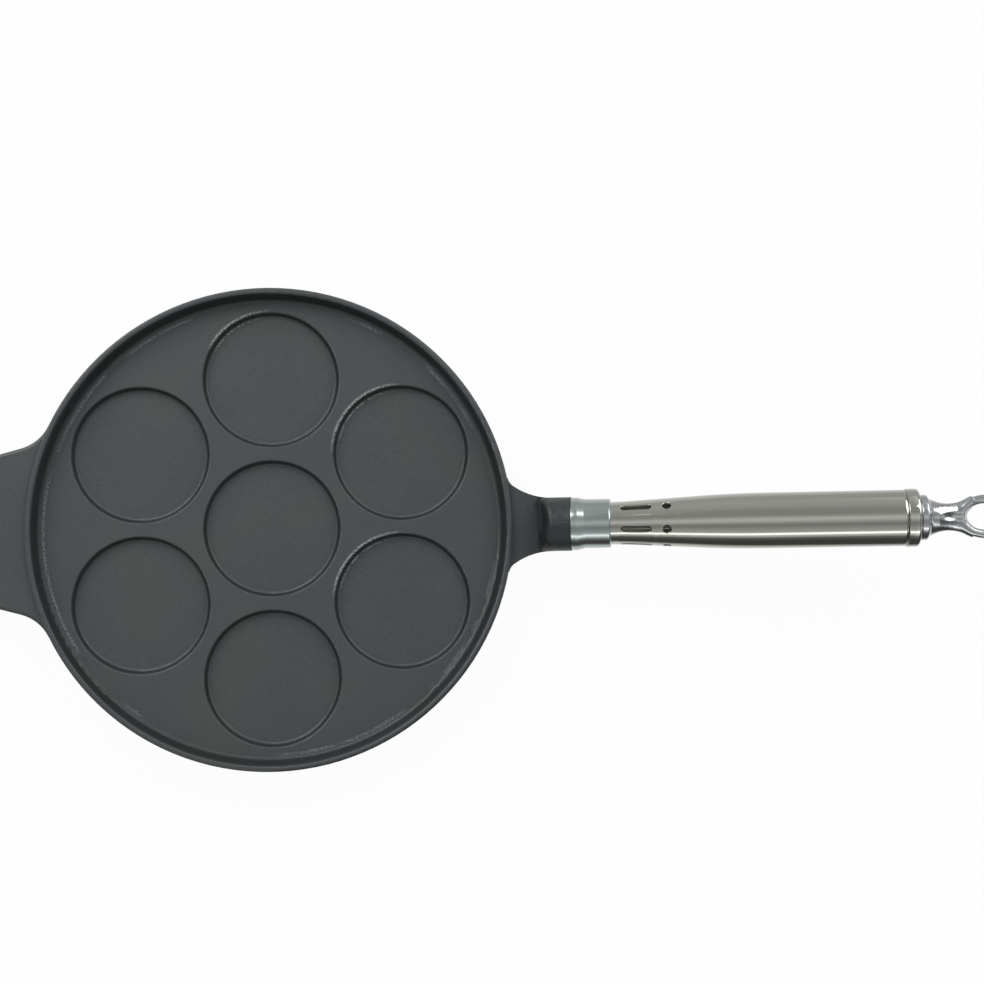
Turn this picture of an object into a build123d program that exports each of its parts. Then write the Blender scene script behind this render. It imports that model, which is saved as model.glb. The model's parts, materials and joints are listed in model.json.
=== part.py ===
from build123d import *
import os
from math import atan2, cos, degrees, hypot, radians, sin, tan

# Mini pancake pan: one iron casting with seven recesses, and a stainless handle drawn onto it by a long rod.
# Millimetres. The origin is the centre of the flat base, +Z is up and the handle runs out along +X.

# Pan plate and rim
rim_radius = 115.5
rim_height = 18.0
rim_widest_height = 12.0
rim_top_width = 2.5
rim_outer_draft = 0.8
rim_inner_draft = 2.0
rim_edge_radius = 1.0
rim_waist_radius = 6.0
base_radius = 111.5
base_edge_radius = 4.5
plate_height = 10.0
plate_corner_radius = 2.2

# Pancake recesses: one in the middle and a ring round it
recess_radius = 32.7
recess_depth = 3.5
recess_wall_run = 1.5
recess_floor_corner = 1.6
recess_edge_radius = 0.7
recess_ring_radius = 71.6
recess_ring_count = 6

# Helper tab, opposite the handle
tab_reach = 28.5
tab_root_width = 79.0
tab_end_width = 63.5
tab_thickness = 6.0
tab_below_rim = 2.0
tab_corner_radius = 14.0
tab_root_fillet = 20.0
tab_edge_radius = 1.8

# Handle axis: where it leaves the boss, and how steeply it rises
boss_face_beyond_rim = 27.7
boss_face_height = 18.5
handle_rise_angle = 10.0

# Arm and boss of the casting
boss_radius = 12.9
boss_length = 15.9
boss_back_lean = 23.0
boss_shoulder_radius = 3.0
arm_thickness = 10.0
arm_below_rim = 3.5
arm_end_setback = 4.0
arm_end_corner = 4.5
arm_flare_setback = 8.9
arm_flare_radius = 32.0
arm_flare_angle = 50.0
arm_root_fillet = 6.0
arm_side_draft = 6.0
spigot_radius = 9.0
spigot_length = 2.0
thread_depth = 12.0

# Ferrule
ferrule_length = 18.9
ferrule_flare_radius = 12.6
ferrule_flare_length = 3.0
ferrule_scoop_length = 3.6
ferrule_barrel_radius = 11.7
ferrule_lip_radius = 0.8
tube_seat_depth = 10.9

# Handle tube
tube_nose_radius = 10.1
tube_grip_radius = 13.2
tube_wall = 0.8
tube_taper_start = 22.4
tube_taper_end = 76.4
tube_throat_radius = 140.0
tube_shoulder_radius = 350.0
tube_end = 156.8

# Vents in the tube
vent_count = 6
vent_first_angle = 18.0
vent_slot_centre = 31.0
vent_slot_length = 14.7
vent_slot_width = 3.2
vent_hole_centre = 45.5
vent_hole_diameter = 4.2

# End cap
cap_radius = 13.65
cap_length = 5.8
cap_face_thickness = 1.8
cap_edge_radius = 1.4
cap_plug_length = 7.0
cap_plug_wall = 1.2

# Tie rod
rod_radius = 3.0
rod_engagement = 9.5
rod_socket_depth = 8.0
rod_end_chamfer = 0.5

# Spring washer
washer_radius = 6.0
washer_thickness = 1.6
washer_split = 1.2

# Hanging loop
foot_radius = 10.6
foot_thickness = 3.8
foot_edge_radius = 1.0
neck_root_radius = 9.2
neck_waist_distance = 9.6
neck_waist_half_width = 6.35
neck_waist_half_height = 4.6
neck_shoulder_share = 0.33
neck_shoulder_swell = 0.5
neck_end_distance = 18.6
neck_end_half_width = 8.4
neck_end_half_height = 2.9
eye_centre_distance = 26.9
eye_half_length = 8.9
eye_half_width = 6.05
eye_band_width = 4.15
eye_band_thickness = 5.6
eye_band_edge_radius = 2.0
eye_bevel_width = 1.5
eye_bevel_depth = 1.2

# Clearances
rod_thread_clearance = 0.05
rod_hole_clearance = 0.3
rod_socket_clearance = 0.02
spigot_clearance = 0.1
spigot_end_gap = 0.3
tube_seat_clearance = 0.05
cap_plug_clearance = 0.05
foot_gap = 0.3
washer_bore_clearance = 0.2
washer_pocket_clearance = 0.4
cut_margin = 1.0

# Worked out from the above
rim_top_outer_radius = rim_radius - rim_outer_draft
rim_top_inner_radius = rim_top_outer_radius - rim_top_width
plate_radius = rim_top_inner_radius - rim_inner_draft
tab_top = rim_height - tab_below_rim
arm_top = rim_height - arm_below_rim
arm_bottom = arm_top - arm_thickness
boss_face_distance = rim_radius + boss_face_beyond_rim
cap_start = tube_end
cap_end = cap_start + cap_length
washer_end = cap_end + washer_thickness
foot_start = cap_end + foot_gap
neck_start = foot_start + foot_thickness
rod_end = washer_end + rod_socket_depth
tube_start = ferrule_length - tube_seat_depth
handle_direction = (cos(radians(handle_rise_angle)), 0, sin(radians(handle_rise_angle)))
handle_up = (-sin(radians(handle_rise_angle)), 0, cos(radians(handle_rise_angle)))
handle_plane = Plane(
    origin=(boss_face_distance, 0, boss_face_height),
    x_dir=handle_up,
    z_dir=handle_direction,
)


def turned(points, radii=None):
    """Solid of revolution about Z from (radius, height) points, with the inner corners rounded by radii."""
    spots = [(r, 0, z) for r, z in points]
    if radii:
        edge = FilletPolyline(*spots, radius=radii)
    else:
        edge = Polyline(*spots)
    outline = edge + Line(spots[-1], spots[0])
    return revolve(make_face(outline), Axis.Z)


def dished(points, corner_radius):
    """Cutter turned about Z: floor centre, floor edge, mouth edge and mouth centre, rounded at the floor edge."""
    spots = [(r, 0, z) for r, z in points]
    wall = FilletPolyline(*spots[:3], radius=corner_radius)
    return revolve(make_face(wall + Polyline(spots[2], spots[3], spots[0])), Axis.Z)


def post(radius, bottom, top):
    """Plain round bar along Z between two heights."""
    return Pos(0, 0, bottom) * extrude(Circle(radius), top - bottom)


def on_handle(solid):
    """Moves a solid made along Z onto the handle's axis."""
    return handle_plane.location * solid


def recess_centres():
    """Centres of the recesses: the middle one, then the ring, with the handle between two of them."""
    step = 360 / recess_ring_count
    ring = [(k + 0.5) * step for k in range(recess_ring_count)]
    return [(0, 0)] + [
        (recess_ring_radius * cos(radians(a)), recess_ring_radius * sin(radians(a))) for a in ring
    ]


def disc():
    """The round disc that the bowl is sunk into, with its flat base and drafted wall."""
    points = [
        (0, 0),
        (base_radius, 0),
        (rim_radius, rim_widest_height),
        (rim_top_outer_radius, rim_height),
        (0, rim_height),
    ]
    return turned(points, [base_edge_radius, rim_waist_radius, rim_edge_radius])


def bowl():
    """The space inside the rim, down to the cooking plate."""
    slope = rim_inner_draft / (rim_height - plate_height)
    mouth = rim_height + cut_margin
    points = [
        (0, plate_height),
        (plate_radius, plate_height),
        (rim_top_inner_radius + slope * cut_margin, mouth),
        (0, mouth),
    ]
    return dished(points, plate_corner_radius)


def recess_cutter():
    """Round shallow dish with a drafted wall, standing on the recess floor."""
    floor = plate_height - recess_depth
    slope = recess_wall_run / recess_depth
    top = plate_height + cut_margin
    points = [
        (0, floor),
        (recess_radius - recess_wall_run, floor),
        (recess_radius + slope * cut_margin, top),
        (0, top),
    ]
    return dished(points, recess_floor_corner)


def edges_at(solid, height, radius):
    """Level round edges of a solid at one height, within half a millimetre of one radius."""
    return [
        e for e in solid.edges().filter_by(GeomType.CIRCLE)
        if abs(e.center().Z - height) < 0.01 and abs(e.radius - radius) < 0.5
    ]


def on_rim(vertex):
    """Whether a corner of a flat outline lies on the rim's circle, off the X axis and on its positive side."""
    distance = hypot(vertex.X, vertex.Y)
    return abs(distance - rim_radius) < 0.01 and vertex.X > 0 and abs(vertex.Y) > 0.01


def wedge(half_angle, reach):
    """Flat triangle from the centre, within an angle of the X axis."""
    rise = reach * tan(radians(half_angle))
    return make_face(Polyline((0, 0), (reach, -rise), (reach, rise), close=True))


def rooted(outline, fillet_radius):
    """Joins a flat outline to the rim's circle with concave fillets, and keeps the part beyond their feet."""
    joined = Circle(rim_radius) + outline
    joined = fillet([v for v in joined.vertices() if on_rim(v)], fillet_radius)
    half_angle = max(degrees(atan2(abs(v.Y), v.X)) for v in joined.vertices() if on_rim(v))
    return joined & wedge(half_angle, 2 * rim_radius)


def arm():
    """Flat arm that narrows from the rim to the boss, with drafted sides and a rounded end."""
    inner = rim_radius / 2
    end = boss_face_distance - arm_end_setback
    flare = boss_face_distance - arm_flare_setback
    centre = boss_radius + arm_flare_radius
    left = CenterArc((flare, centre), arm_flare_radius, 270 - arm_flare_angle, arm_flare_angle)
    right = CenterArc((flare, -centre), arm_flare_radius, 90, arm_flare_angle)
    root_left = left @ 0
    root_right = right @ 1
    tip = Polyline(left @ 1, (end, boss_radius), (end, -boss_radius), right @ 0)
    back = Polyline(root_right, (inner, root_right.Y), (inner, root_left.Y), root_left)
    plan = rooted(make_face(left + tip + right + back), arm_root_fillet)
    plan = fillet([v for v in plan.vertices() if abs(v.X - end) < 0.01], arm_end_corner)
    return Pos(0, 0, arm_top) * extrude(plan, -arm_thickness, taper=arm_side_draft)


def boss():
    """Round boss that faces the handle, with a leaning back and a locating spigot, flush under the arm."""
    body = post(boss_radius, -2 * boss_length, 0)
    back = Plane((0, 0, -boss_length), z_dir=(sin(radians(boss_back_lean)), 0, -cos(radians(boss_back_lean))))
    body = split(body, bisect_by=back, keep=Keep.BOTTOM)
    body = fillet(body.edges().filter_by(GeomType.ELLIPSE), boss_shoulder_radius)
    body += post(spigot_radius, 0, spigot_length)
    return on_handle(body) & post(2 * boss_face_distance, arm_bottom, boss_face_distance)


def helper_tab():
    """Flat tab opposite the handle, made on +X and turned round."""
    end = rim_radius + tab_reach
    flare = (tab_root_width - tab_end_width) / 2 / tab_reach
    inner = rim_radius / 2
    inner_half = tab_root_width / 2 + flare * (rim_radius - inner)
    corners = [(inner, -inner_half), (end, -tab_end_width / 2), (end, tab_end_width / 2), (inner, inner_half)]
    plan = rooted(make_face(Polyline(*corners, close=True)), tab_root_fillet)
    plan = fillet([v for v in plan.vertices() if abs(v.X - end) < 0.01], tab_corner_radius)
    tab = Pos(0, 0, tab_top - tab_thickness) * extrude(plan, tab_thickness)
    rims = [
        e for e in tab.edges()
        if hypot(e.center().X, e.center().Y) > rim_radius + 0.1 and abs(e.bounding_box().size.Z) < 0.01
    ]
    return Rot(0, 0, 180) * fillet(rims, tab_edge_radius)


def pan_casting():
    """The whole iron casting."""
    casting = disc() + helper_tab() + arm() - bowl() + boss()
    cutter = recess_cutter()
    for x, y in recess_centres():
        casting -= Pos(x, y, 0) * cutter
    casting = fillet(edges_at(casting, rim_height, rim_top_inner_radius), rim_edge_radius)
    casting = fillet(edges_at(casting, plate_height, recess_radius), recess_edge_radius)
    casting -= on_handle(post(rod_radius + rod_thread_clearance, -thread_depth, spigot_length + cut_margin))
    return casting


def ferrule():
    """Collar that sits on the boss and takes the nose of the tube."""
    scoop_end = ferrule_flare_length + ferrule_scoop_length
    outside = [
        (0, 0),
        (ferrule_flare_radius, 0),
        (ferrule_flare_radius, ferrule_flare_length),
        (ferrule_barrel_radius, scoop_end),
        (ferrule_barrel_radius, ferrule_length),
        (0, ferrule_length),
    ]
    step = ferrule_flare_radius - ferrule_barrel_radius
    radii = [step / 3, ferrule_scoop_length / 2, ferrule_scoop_length, ferrule_lip_radius]
    body = turned(outside, radii)
    body -= post(spigot_radius + spigot_clearance, -cut_margin, spigot_length + spigot_end_gap)
    body -= post(tube_nose_radius + tube_seat_clearance, tube_start, ferrule_length + cut_margin)
    body -= post(rod_radius + rod_hole_clearance, -cut_margin, ferrule_length)
    return on_handle(body)


def tube_shape(inset, bottom, top):
    """Filled shape of the tapered tube, inset from its outside."""
    nose = tube_nose_radius - inset
    grip = tube_grip_radius - inset
    bent = FilletPolyline(
        (nose, 0, bottom), (nose, 0, tube_taper_start), (grip, 0, tube_taper_end), (grip, 0, top),
        radius=[tube_throat_radius, tube_shoulder_radius],
    )
    sides = Polyline((grip, 0, top), (0, 0, top), (0, 0, bottom), (nose, 0, bottom))
    return revolve(make_face(bent + sides), Axis.Z)


def vents():
    """Cutters for the ring of slots and the ring of round holes."""
    reach = tube_grip_radius + cut_margin
    slot = Rot(0, 90, 0) * extrude(SlotOverall(vent_slot_length, vent_slot_width), reach)
    hole = Rot(0, 90, 0) * extrude(Circle(vent_hole_diameter / 2), reach)
    pair = [Pos(0, 0, vent_slot_centre) * slot, Pos(0, 0, vent_hole_centre) * hole]
    step = 360 / vent_count
    return [Rot(0, 0, vent_first_angle + k * step) * cutter for k in range(vent_count) for cutter in pair]


def handle_tube():
    """Tapered stainless tube with its vents."""
    body = tube_shape(0, tube_start, tube_end)
    body -= tube_shape(tube_wall, tube_start - cut_margin, tube_end + cut_margin)
    for cutter in vents():
        body -= cutter
    return on_handle(body)


def end_cap():
    """Cap over the tube's wide end, with a plug that fits inside the tube."""
    plug_radius = tube_grip_radius - tube_wall - cap_plug_clearance
    hollow_radius = plug_radius - cap_plug_wall
    body = post(cap_radius, cap_start, cap_end)
    body = fillet(body.edges().group_by(Axis.Z)[-1], cap_edge_radius)
    body += post(plug_radius, cap_start - cap_plug_length, cap_start)
    body -= post(hollow_radius, cap_start - cap_plug_length - cut_margin, cap_end - cap_face_thickness)
    body -= post(rod_radius + rod_hole_clearance, cap_start, cap_end + cut_margin)
    return on_handle(body)


def tie_rod():
    """Rod from the boss's thread to the hanger's socket."""
    body = post(rod_radius, -rod_engagement, rod_end)
    body = chamfer(body.edges(), rod_end_chamfer)
    return on_handle(body)


def spring_washer():
    """Split washer between the cap and the hanger's foot."""
    body = post(washer_radius, cap_end, washer_end)
    body -= post(rod_radius + washer_bore_clearance, cap_end - cut_margin, washer_end + cut_margin)
    split = Pos(washer_radius / 2, 0, (cap_end + washer_end) / 2) * Box(
        washer_radius + 2 * cut_margin, washer_split, washer_thickness + 2 * cut_margin
    )
    return on_handle(body - split)


def neck_section(distance, half_width, half_height):
    """Oval section of the neck at a distance behind the foot."""
    return Pos(0, 0, neck_start + distance) * Ellipse(half_height, half_width)


def neck():
    """Waisted neck, from a round root to a flat end."""
    flare = neck_root_radius - neck_waist_half_width
    drop = neck_root_radius - neck_waist_half_height
    return loft([
        neck_section(-foot_edge_radius, neck_root_radius, neck_root_radius),
        neck_section(
            neck_waist_distance * neck_shoulder_share,
            neck_waist_half_width + flare * neck_shoulder_swell,
            neck_waist_half_height + drop * neck_shoulder_swell,
        ),
        neck_section(neck_waist_distance, neck_waist_half_width, neck_waist_half_height),
        neck_section(neck_end_distance, neck_end_half_width, neck_end_half_height),
    ])


def eye_band():
    """Oval band of the hanger, without its eye."""
    band = extrude(
        Ellipse(eye_half_length + eye_band_width, eye_half_width + eye_band_width),
        eye_band_thickness / 2, both=True,
    )
    return fillet(band.edges(), eye_band_edge_radius)


def eye_cutter():
    """The eye, with a bevel round both of its edges."""
    half = eye_band_thickness / 2
    hole = extrude(Ellipse(eye_half_length, eye_half_width), eye_band_thickness, both=True)
    outer = Pos(0, 0, half) * Ellipse(eye_half_length + eye_bevel_width, eye_half_width + eye_bevel_width)
    inner = Pos(0, 0, half - eye_bevel_depth) * Ellipse(eye_half_length, eye_half_width)
    bevel = loft([inner, outer])
    return hole + bevel + mirror(bevel, Plane.XY)


def hanging_loop():
    """Hanger: foot, neck and eye, with the socket for the rod."""
    body = post(foot_radius, foot_start, neck_start)
    body = fillet(body.edges().group_by(Axis.Z)[-1], foot_edge_radius)
    body += neck()
    centre = Pos(0, 0, neck_start + eye_centre_distance)
    facing_up = Rot(0, 90, 0)
    body += centre * facing_up * eye_band()
    body -= centre * facing_up * eye_cutter()
    body -= post(washer_radius + washer_pocket_clearance, foot_start - cut_margin, washer_end)
    body -= post(rod_radius + rod_socket_clearance, foot_start, rod_end + cut_margin)
    return on_handle(body)


def main():
    os.makedirs("parts", exist_ok=True)
    pieces = {
        "pan_casting": pan_casting,
        "ferrule": ferrule,
        "handle_tube": handle_tube,
        "end_cap": end_cap,
        "tie_rod": tie_rod,
        "spring_washer": spring_washer,
        "hanging_loop": hanging_loop,
    }
    for name, make in pieces.items():
        export_step(make(), f"parts/{name}.step")


main()
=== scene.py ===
import json
import logging
import math
from collections.abc import Callable
from dataclasses import dataclass, field
from enum import Enum

import bmesh
import bpy
import numpy as np
from mathutils import Matrix, Vector


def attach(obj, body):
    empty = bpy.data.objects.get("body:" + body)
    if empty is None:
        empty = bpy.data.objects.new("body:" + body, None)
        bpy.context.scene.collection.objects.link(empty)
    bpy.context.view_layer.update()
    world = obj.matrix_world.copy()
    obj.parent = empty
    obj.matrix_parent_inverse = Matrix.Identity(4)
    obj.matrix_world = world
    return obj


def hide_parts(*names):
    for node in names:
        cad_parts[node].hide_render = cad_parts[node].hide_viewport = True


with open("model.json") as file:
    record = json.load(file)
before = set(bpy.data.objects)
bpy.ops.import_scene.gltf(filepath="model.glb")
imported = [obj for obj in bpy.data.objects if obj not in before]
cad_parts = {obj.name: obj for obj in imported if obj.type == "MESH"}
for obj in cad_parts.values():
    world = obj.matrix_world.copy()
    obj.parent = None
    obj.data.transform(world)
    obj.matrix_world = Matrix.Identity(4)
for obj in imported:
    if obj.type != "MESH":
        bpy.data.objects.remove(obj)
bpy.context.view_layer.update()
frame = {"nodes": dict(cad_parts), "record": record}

MM = 0.001
TURN = 2 * math.pi
NEWTON_STEPS = 3
PROBE_SHARE = 0.05
LEAST_SLOPE_SQUARED = 0.25
TINY = 1e-9
log = logging.getLogger("pancake_pan")

Array = np.ndarray
Colour = tuple[float, float, float]
Pair = tuple[float, float]
NoiseLook = tuple[float, float, float]


class Body(Enum):
    """The bodies that new pieces ride on."""

    PAN = "pan"
    HANGER = "hanger"


class Slot(Enum):
    """Names of the record's material slots; no piece here uses them."""

    BRIGHT_CASTING = "bright_casting"
    TUBE = "tube"
    CAP = "cap"
    ROD = "rod"


# Geometry helpers


@dataclass(frozen=True)
class HandleAxis:
    """The handle's own frame: a along the handle, w towards +Y and h upwards, all in metres.

    Args:
        origin: Point on the axis at the boss's face.
        along: Unit vector out along the handle.
        side: Unit vector across the handle, along +Y.
        up: Unit vector square to both, on the upper side.
    """

    origin: Array
    along: Array
    side: Array
    up: Array

    @classmethod
    def from_frame(cls) -> "HandleAxis":
        """Reads the axis from the joint that turns the hanger.

        Returns:
            The handle's frame.
        """
        joint = next(j for j in frame["record"]["behaviour"]["joints"] if j["type"] == "hinge")
        along = np.array(joint["axis"], dtype=float)
        along /= np.linalg.norm(along)
        side = np.array([0.0, 1.0, 0.0])
        return cls(np.array(joint["pos_m"], dtype=float), along, side, np.cross(along, side))

    def place(self, points: Array) -> Array:
        """Turns (a, w, h) points into the row's frame.

        Args:
            points: Array of shape (n, 3).

        Returns:
            Array of shape (n, 3) in metres.
        """
        return self.origin + points @ np.stack([self.along, self.side, self.up])

    def measure(self, node: str) -> tuple[float, float, float]:
        """Where a CAD node starts and ends along the axis, and how far it reaches from it.

        Args:
            node: The node's name.

        Returns:
            Start, end and greatest radius, in metres.
        """
        mesh = frame["nodes"][node].data
        flat = np.empty(len(mesh.vertices) * 3)
        mesh.vertices.foreach_get("co", flat)
        offset = flat.reshape(-1, 3) - self.origin
        a = offset @ self.along
        radius = np.linalg.norm(offset - a[:, None] * self.along, axis=1)
        return float(a.min()), float(a.max()), float(radius.max())


def round_points(a: Array, r: Array, t: Array) -> Array:
    """Points (a, r sin t, r cos t) of the handle's frame, with t as the angle from straight up.

    Args:
        a: Places along the handle.
        r: Distances from its axis.
        t: Angles round it.

    Returns:
        Array of shape (n, 3).
    """
    return np.stack([a, r * np.sin(t), r * np.cos(t)], axis=-1).reshape(-1, 3)


def rounded(corners: list[tuple[float, float, float]], per_arc: int = 7) -> Array:
    """Rounds the corners of a closed profile with arcs.

    Each corner is (a, r, radius). The arc touches both runs, at radius * tan(half the turn) from the
    corner, and its points are spaced evenly by angle.

    Args:
        corners: The profile's corners in order.
        per_arc: Points on each arc.

    Returns:
        Points (a, r), shape (n, 2).
    """
    spots = np.array([c[:2] for c in corners])
    share = np.linspace(0, 1, per_arc)[:, None]
    out = []
    for k, (_, _, radius) in enumerate(corners):
        here = spots[k]
        if radius <= 0:
            out.append(here[None])
            continue
        back = spots[k - 1] - here
        ahead = spots[(k + 1) % len(corners)] - here
        back /= np.linalg.norm(back)
        ahead /= np.linalg.norm(ahead)
        half = math.acos(float(np.clip(back @ ahead, -1, 1))) / 2
        middle = (back + ahead) / np.linalg.norm(back + ahead)
        centre = here + middle * radius / math.sin(half)
        start = here + back * radius / math.tan(half) - centre
        stop = here + ahead * radius / math.tan(half) - centre
        angle = math.pi - 2 * half
        arc = (np.sin((1 - share) * angle) * start + np.sin(share * angle) * stop) / math.sin(angle)
        out.append(centre + arc)
    return np.concatenate(out)


def grid_faces(rows: int, columns: int, close_rows: bool) -> Array:
    """Quads of a grid whose vertex (i, j) has the number i * columns + j, closed along its rows.

    Args:
        rows: Number of rows.
        columns: Number of columns.
        close_rows: Whether the last row joins the first.

    Returns:
        Array of shape (n, 4).
    """
    i, j = np.meshgrid(np.arange(rows if close_rows else rows - 1), np.arange(columns), indexing="ij")
    i, j = i.ravel(), j.ravel()
    here = i * columns
    below = (i + 1) % rows * columns
    beside = (j + 1) % columns
    return np.stack([here + j, below + j, below + beside, here + beside], axis=1)


def volume(points: Array, faces: Array) -> float:
    """Signed volume inside a closed mesh of quads, positive where its faces point outwards.

    Args:
        points: Array of shape (n, 3).
        faces: Array of shape (m, 4).

    Returns:
        A sixth of the summed triple products of the fan triangles.
    """
    p = points - points.mean(axis=0)
    a, b, c, d = (p[faces[:, k]] for k in range(4))
    return float((np.einsum("ij,ij->", a, np.cross(b, c)) + np.einsum("ij,ij->", a, np.cross(c, d))) / 6)


def make_piece(name: str, points: Array, faces: Array, closed: bool = True) -> bpy.types.Object:
    """Puts points and quads into a new smooth object at the origin.

    Args:
        name: The piece's name.
        points: Array of shape (n, 3), in metres.
        faces: Array of shape (m, 4).
        closed: Whether the mesh closes, so that its faces can be turned outwards by its volume.

    Returns:
        The new object.
    """
    if closed and volume(points, faces) < 0:
        faces = faces[:, ::-1]
    mesh = bpy.data.meshes.new(name)
    mesh.from_pydata(points.tolist(), [], faces.tolist())
    mesh.polygons.foreach_set("use_smooth", np.ones(len(mesh.polygons), dtype=bool))
    mesh.update()
    piece = bpy.data.objects.new(name, mesh)
    bpy.context.scene.collection.objects.link(piece)
    return piece


def lathe(name: str, axis: HandleAxis, profile: Array, steps: int = 160) -> bpy.types.Object:
    """Carries a closed profile round the handle's axis, in equal steps.

    Args:
        name: The piece's name.
        axis: The handle's frame.
        profile: Closed loop of points (a, r), shape (n, 2).
        steps: Number of steps round the axis.

    Returns:
        The new object.
    """
    t = np.tile(np.arange(steps) * TURN / steps, len(profile))
    a, r = (np.repeat(profile[:, k], steps) for k in range(2))
    return make_piece(name, axis.place(round_points(a, r, t)), grid_faces(len(profile), steps, True))


def surface_of(
    name: str, field_at: Callable[[Array], Array], low: Array, high: Array, cell: float, axis: HandleAxis,
) -> bpy.types.Object:
    """Meshes the surface on which a distance field is zero.

    The field is sampled on a grid. Each cell that the surface crosses gets one vertex, at the mean of the
    crossings on its twelve edges, and each grid edge that it crosses gets one quad between its four cells.
    The vertices are then moved onto the zero surface by Newton steps.

    Args:
        name: The piece's name.
        field_at: Distance at points (n, 3) of the handle's frame, negative inside.
        low: Lowest corner of the grid.
        high: Highest corner of the grid.
        cell: Cell size in metres.
        axis: The handle's frame.

    Returns:
        The new object.
    """
    shape = np.ceil((high - low) / cell).astype(int) + 1
    ticks = [low[k] + cell * np.arange(shape[k]) for k in range(3)]
    nodes = np.stack(np.meshgrid(*ticks, indexing="ij"), axis=-1)
    value = field_at(nodes.reshape(-1, 3)).reshape(shape)
    cells = tuple(shape - 1)
    total = np.zeros(cells + (3,))
    count = np.zeros(cells)
    corners = [np.array([x, y, z]) for x in (0, 1) for y in (0, 1) for z in (0, 1)]
    for one, along in ((c, k) for c in corners for k in range(3) if not c[k]):
        two = one + np.eye(3, dtype=int)[along]
        v1, v2 = (value[tuple(slice(o, o + n) for o, n in zip(c, cells))] for c in (one, two))
        crossed = (v1 < 0) != (v2 < 0)
        share = np.where(crossed, v1 / np.where(crossed, v1 - v2, 1), 0)
        for k in range(3):
            total[..., k] += np.where(crossed, one[k] + (share if k == along else 0), 0)
        count += crossed
    active = count > 0
    number = np.full(cells, -1)
    number[active] = np.arange(int(active.sum()))
    points = low + cell * (np.argwhere(active) + total[active] / count[active][:, None])
    quads = []
    for along in range(3):
        others = [k for k in range(3) if k != along]
        v1 = np.delete(value, -1, axis=along)
        v2 = np.delete(value, 0, axis=along)
        spots = np.argwhere((v1 < 0) != (v2 < 0))
        spots = spots[((spots[:, others] > 0) & (spots[:, others] < np.array(cells)[others])).all(axis=1)]
        around = []
        for shift in ((-1, -1), (0, -1), (0, 0), (-1, 0)):
            near = spots.copy()
            near[:, others] += shift
            around.append(number[tuple(near.T)])
        quad = np.stack(around, axis=1)
        flip = (v1[tuple(spots.T)] < 0) == (along != 1)
        quads.append(np.where(flip[:, None], quad, quad[:, ::-1]))
    probe = cell * PROBE_SHARE
    shifts = probe * np.eye(3)
    for _ in range(NEWTON_STEPS):
        rise = np.stack([field_at(points + shift) - field_at(points - shift) for shift in shifts], axis=1)
        slope = rise / (2 * probe)
        step = field_at(points) / np.maximum((slope**2).sum(axis=1), LEAST_SLOPE_SQUARED)
        points = points - np.clip(step, -cell, cell)[:, None] * slope
    return make_piece(name, axis.place(points), np.concatenate(quads))


def smooth_min(a: Array, b: Array, blend: float) -> Array:
    """Joins two distance fields with a fillet.

    Args:
        a: First field's values.
        b: Second field's values.
        blend: About how wide the fillet is.

    Returns:
        The joined field's values.
    """
    mix = np.clip(0.5 + 0.5 * (b - a) / blend, 0, 1)
    return b + (a - b) * mix - blend * mix * (1 - mix)


def smooth_max(a: Array, b: Array, blend: float) -> Array:
    """Cuts one distance field by another with a rounded edge.

    Args:
        a: First field's values.
        b: Second field's values.
        blend: About how wide the rounding is.

    Returns:
        The cut field's values.
    """
    return -smooth_min(-a, -b, blend)


def rounded_box(x: Array, y: Array, half_x: float, half_y: float, edge: float) -> Array:
    """Distance from a rectangle about the origin with rounded corners.

    Args:
        x: First coordinates.
        y: Second coordinates.
        half_x: Half of its first side.
        half_y: Half of its second side.
        edge: Radius of its corners.

    Returns:
        Distances, negative inside.
    """
    qx = np.abs(x) - half_x + edge
    qy = np.abs(y) - half_y + edge
    return np.hypot(np.maximum(qx, 0), np.maximum(qy, 0)) + np.minimum(np.maximum(qx, qy), 0) - edge


# Material helpers

FINE_GRAIN: Pair = (3.0, 0.6)
WIDE_GRAIN: Pair = (2.0, 0.5)
BRUSHED_GRAIN: Pair = (2.0, 0.55)
FINE_SHARE = 0.65
WIDE_SHARE = 0.35


@dataclass(frozen=True)
class Band:
    """Soft band across a value: full round its middle, and faded out beyond.

    Args:
        middle: Value at its middle.
        core: Distance from the middle up to which it is full.
        edge: Distance from which it is gone.
        level: Its strength where it is full.
    """

    middle: float
    core: float
    edge: float
    level: float = 1.0


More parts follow.
